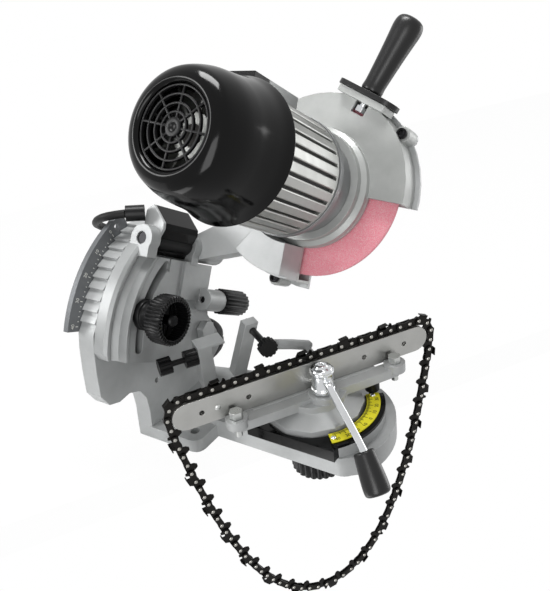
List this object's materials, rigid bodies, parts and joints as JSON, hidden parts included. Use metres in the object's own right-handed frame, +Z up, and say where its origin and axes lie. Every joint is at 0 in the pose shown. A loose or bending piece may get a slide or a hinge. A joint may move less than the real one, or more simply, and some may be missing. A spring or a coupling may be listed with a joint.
{
  "type": "electric chainsaw sharpener",
  "caption": "Bench-mounted electric chainsaw sharpener: motor with grinding wheel on a tilting head over a chain vise on a turntable, with a saw chain clamped in it.",
  "frame": {"origin": "on the flat underside of the base casting, where the sector plate's front face meets the platform", "axes": "+Z up from the bench, +X from the sector plate towards the vise turntable, +Y along the sector plate away from the operator"},
  "size_m": [0.3957, 0.2577, 0.5195],
  "materials": {
    "cast_grey": "silver-grey paint on a casting, satin",
    "cast_satin": "satin silver paint on a casting",
    "fin_aluminium": "bare finned aluminium",
    "zinc_steel": "bright zinc plate",
    "chrome": "polished chrome",
    "rail_steel": "ground steel plate",
    "dark_steel": "dark oiled steel",
    "black_plastic": "moulded black plastic",
    "gloss_black": "gloss black moulding",
    "red_plastic": "red rocker",
    "yellow_scale": "printed yellow scale strip",
    "pink_abrasive": "pink vitrified abrasive with a speckle",
    "cord_rubber": "black rubber lead"
  },
  "bodies": {
    "base": {"base_casting": "cast_grey", "number_plate": "cast_grey", "tilt_pivot_bolt": "zinc_steel", "tilt_lock_stud": "zinc_steel", "scale_bar": "black_plastic", "scale_strip": "yellow_scale", "scale_lock_knob": "black_plastic", "cord_lower": "cord_rubber", "cord_coil": "cord_rubber", "plug": "black_plastic"},
    "tilt_lock_knob": {"tilt_lock_knob": "black_plastic"},
    "tilt_bracket": {"tilt_bracket": "cast_grey", "hinge_bolt": "zinc_steel", "return_spring": "zinc_steel", "hinge_cover": "black_plastic", "hinge_cover_cap": "cast_grey", "cord_sleeve": "black_plastic", "cord_upper": "cord_rubber"},
    "depth_stop_knob": {"depth_stop_knob": "black_plastic"},
    "head": {"swing_arm": "cast_grey", "wheel_guard": "cast_satin", "rear_guard_cover": "cast_satin", "handle_plate": "black_plastic", "handle_grip": "black_plastic", "handle_bolt": "chrome", "motor_front_shield": "cast_grey", "stator_housing": "fin_aluminium", "stator_core": "dark_steel", "fan_cover": "gloss_black", "motor_rear_shield": "cast_grey", "fan_grille": "black_plastic", "front_bearing": "zinc_steel", "rear_bearing": "zinc_steel", "switch_box": "cast_grey", "switch_cap": "black_plastic", "run_capacitor": "fin_aluminium"},
    "rotor": {"rotor_shaft": "dark_steel", "rotor_core": "dark_steel", "cooling_fan": "black_plastic", "inner_flange": "zinc_steel", "outer_flange": "zinc_steel", "grinding_wheel": "pink_abrasive", "arbor_nut": "zinc_steel"},
    "switch_rocker": {"switch_rocker": "red_plastic"},
    "turntable": {"turntable_casting": "cast_grey", "turntable_stud": "zinc_steel", "rear_jaw": "rail_steel", "ear_bolt_left": "zinc_steel", "ear_bolt_right": "zinc_steel", "clamp_post": "zinc_steel", "saw_chain": "dark_steel", "stop_bracket": "cast_grey"},
    "turntable_lock_knob": {"turntable_lock_knob": "black_plastic"},
    "front_jaw": {"front_jaw": "rail_steel"},
    "clamp_lever": {"clamp_hub": "chrome", "clamp_rod": "chrome", "clamp_grip": "black_plastic"},
    "stop_finger": {"stop_finger": "cast_grey"},
    "stop_knob": {"stop_knob": "black_plastic"},
    "stop_adjust_screw": {"stop_adjust_screw": "black_plastic"}
  },
  "joints": [
    {"name": "tilt", "type": "hinge", "parent": "base", "child": "tilt_bracket", "pos_m": [0, 0, 0.08143], "axis": [1, 0, 0], "range_deg": [-16, 29.7]},
    {"name": "tilt_lock_turn", "type": "hinge", "parent": "base", "child": "tilt_lock_knob", "pos_m": [0, -0.06626, 0.13136], "axis": [1, 0, 0], "range_deg": [0, 180]},
    {"name": "head_swing", "type": "hinge", "parent": "tilt_bracket", "child": "head", "pos_m": [0.013, 0.03571, 0.14395], "axis": [0, 0.8684, -0.4959], "range_deg": [0, 23.5], "stiffness_Nm_per_rad": 16, "springref_deg": -34.38},
    {"name": "depth_stop_turn", "type": "hinge", "parent": "tilt_bracket", "child": "depth_stop_knob", "pos_m": [0.025, 0.01389, 0.10574], "axis": [0, 0.8684, -0.4959], "range_deg": [0, 180]},
    {"name": "rotor_spin", "type": "hinge", "parent": "head", "child": "rotor", "pos_m": [0.11586, 0.06819, 0.20083], "axis": [0, -0.8684, 0.4959], "continuous": true},
    {"name": "switch_rock", "type": "hinge", "parent": "head", "child": "switch_rocker", "pos_m": [0.10336, 0.0026, 0.30739], "axis": [-1, 0, 0], "range_deg": [0, 20]},
    {"name": "turntable_turn", "type": "hinge", "parent": "base", "child": "turntable", "pos_m": [0.1328, -0.0001, 0], "axis": [0, 0, 1], "range_deg": [-1.4, 64]},
    {"name": "turntable_lock_turn", "type": "hinge", "parent": "turntable", "child": "turntable_lock_knob", "pos_m": [0.1328, -0.0001, 0], "axis": [0, 0, -1], "range_deg": [0, 180]},
    {"name": "clamp_turn", "type": "hinge", "parent": "turntable", "child": "clamp_lever", "pos_m": [0.14739, -0.00741, 0.066], "axis": [0, 0, -1], "range_deg": [0, 25]},
    {"name": "jaw_slide", "type": "slide", "parent": "turntable", "child": "front_jaw", "axis": [0.8325, -0.554, 0], "range_m": [0, 0.001]},
    {"name": "stop_finger_lift", "type": "hinge", "parent": "turntable", "child": "stop_finger", "pos_m": [0.10286, -0.01982, 0.096], "axis": [-0.8325, 0.554, 0], "range_deg": [-45, 0]},
    {"name": "stop_knob_turn", "type": "hinge", "parent": "turntable", "child": "stop_knob", "pos_m": [0.10786, -0.02314, 0.096], "axis": [0.8325, -0.554, 0], "range_deg": [0, 180]},
    {"name": "stop_screw_turn", "type": "hinge", "parent": "turntable", "child": "stop_adjust_screw", "pos_m": [0.0488, -0.0451, 0.086], "axis": [0.554, 0.8325, 0], "range_deg": [0, 180]}
  ],
  "couplings": [
    {"joint": "jaw_slide", "follows": "clamp_turn", "m_per_rad": 0.00143}
  ]
}
